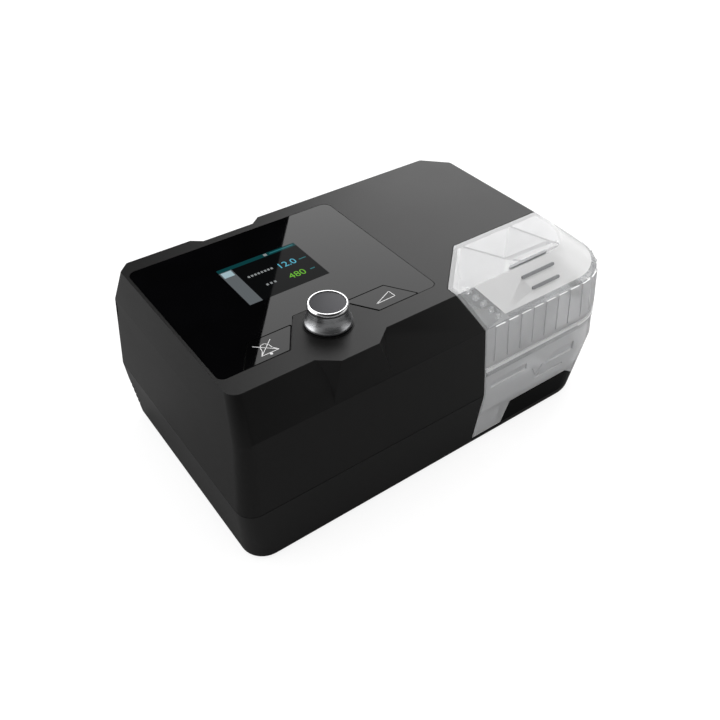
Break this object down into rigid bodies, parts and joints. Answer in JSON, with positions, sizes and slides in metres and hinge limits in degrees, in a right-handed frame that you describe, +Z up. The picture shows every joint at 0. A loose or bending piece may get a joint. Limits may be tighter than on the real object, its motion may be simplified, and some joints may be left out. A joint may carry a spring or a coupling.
{
  "type": "cpap machine",
  "caption": "Bench-top CPAP machine: low black casing with glass control panel, push-and-turn dial, touch-level keys and a clear draw-out heated water chamber at its right front corner.",
  "frame": {"origin": "centre of the footprint, on the plane that the rubber feet stand on", "axes": "+X along the front from left to right, +Y to the back, +Z up"},
  "size_m": [0.265, 0.15, 0.1201],
  "materials": {
    "black_plastic": "fine satin texture",
    "panel_glass": "polished black window",
    "screen": "lit display behind glass",
    "dial_metal": "satin turned",
    "dial_chrome": "polished ring",
    "dial_inset": "satin dark grey",
    "clear_tank": "clear moulded plastic, lightly frosted",
    "silicone": "translucent silicone",
    "foot_rubber": "matt",
    "heater_metal": "plain brushed",
    "steel": "plain",
    "circuit_board": "solder mask",
    "component_black": "plain moulded",
    "inner_plastic": "plain moulded",
    "foam": "open-cell acoustic foam",
    "filter_media": "fine fibre",
    "brass_contact": "bright"
  },
  "bodies": {
    "main_unit": {"top_casing": "black_plastic", "base_casing": "black_plastic", "rubber_feet": "foot_rubber", "case_screws": "steel", "display_glass": "panel_glass", "screen_module": "screen", "main_board": "circuit_board", "key_switches": "component_black", "display_connector": "component_black", "alarm_buzzer": "component_black", "dial_encoder": "component_black", "dial_bezel": "black_plastic", "inlet_seal": "silicone", "outlet_seal": "silicone", "heater_tray": "inner_plastic", "heater_springs": "steel", "blower_lower": "inner_plastic", "blower_upper": "inner_plastic", "blower_motor": "steel", "blower_mounts": "silicone", "intake_boot": "silicone", "muffler_box": "inner_plastic", "muffler_foam": "foam", "inlet_filter": "filter_media", "air_duct": "inner_plastic", "outlet_duct": "inner_plastic", "outlet_well": "black_plastic", "hose_connector": "black_plastic", "flow_sensor": "component_black", "power_board": "circuit_board", "power_parts": "component_black", "power_jack": "component_black", "power_pin": "brass_contact", "data_port": "steel", "card_socket": "steel"},
    "dial_stem": {"dial_sleeve": "steel"},
    "dial": {"dial_shaft": "steel", "dial_body": "dial_metal", "dial_ring": "dial_chrome", "dial_cap": "dial_inset"},
    "mute_button": {"mute_key": "panel_glass", "mute_key_post": "inner_plastic"},
    "ramp_button": {"ramp_key": "panel_glass", "ramp_key_post": "inner_plastic"},
    "water_chamber": {"chamber_tub": "clear_tank", "chamber_heat_plate": "heater_metal"},
    "chamber_cover": {"chamber_lid": "clear_tank", "lid_seal": "silicone"},
    "floating_heater": {"heater_plate": "heater_metal"},
    "intake_cover": {"louvre_cover": "black_plastic"},
    "card": {"memory_card": "component_black"},
    "blower_wheel": {"impeller": "inner_plastic", "rotor_shaft": "steel"}
  },
  "joints": [
    {"name": "dial_press", "type": "slide", "parent": "main_unit", "child": "dial_stem", "axis": [0, 0, -1], "range_m": [0, 0.0005], "stiffness_N_per_m": 800, "springref_m": -0.002},
    {"name": "dial_turn", "type": "hinge", "parent": "dial_stem", "child": "dial", "pos_m": [-0.058, -0.0397, 0.11], "axis": [0, 0, 1], "continuous": true},
    {"name": "mute_press", "type": "slide", "parent": "main_unit", "child": "mute_button", "axis": [0, 0, -1], "range_m": [0, 0.0004], "stiffness_N_per_m": 500, "springref_m": -0.002},
    {"name": "ramp_press", "type": "slide", "parent": "main_unit", "child": "ramp_button", "axis": [0, 0, -1], "range_m": [0, 0.0004], "stiffness_N_per_m": 500, "springref_m": -0.002},
    {"name": "chamber_pull", "type": "slide", "parent": "main_unit", "child": "water_chamber", "axis": [0, -1, 0], "range_m": [0, 0.06]},
    {"name": "lid_lift", "type": "slide", "parent": "water_chamber", "child": "chamber_cover", "axis": [0, 0, 1], "range_m": [0, 0.06]},
    {"name": "heater_float", "type": "slide", "parent": "main_unit", "child": "floating_heater", "axis": [0, 0, -1], "range_m": [0, 0.0012], "stiffness_N_per_m": 1500, "springref_m": -0.002, "deforming": ["heater_springs"]},
    {"name": "intake_cover_pull", "type": "slide", "parent": "main_unit", "child": "intake_cover", "axis": [0, 1, 0], "range_m": [0, 0.02]},
    {"name": "card_eject", "type": "slide", "parent": "main_unit", "child": "card", "axis": [0, 1, 0], "range_m": [0, 0.022]},
    {"name": "blower_spin", "type": "hinge", "parent": "main_unit", "child": "blower_wheel", "pos_m": [-0.05, 0.02, 0.066], "axis": [0, 0, 1], "continuous": true}
  ]
}
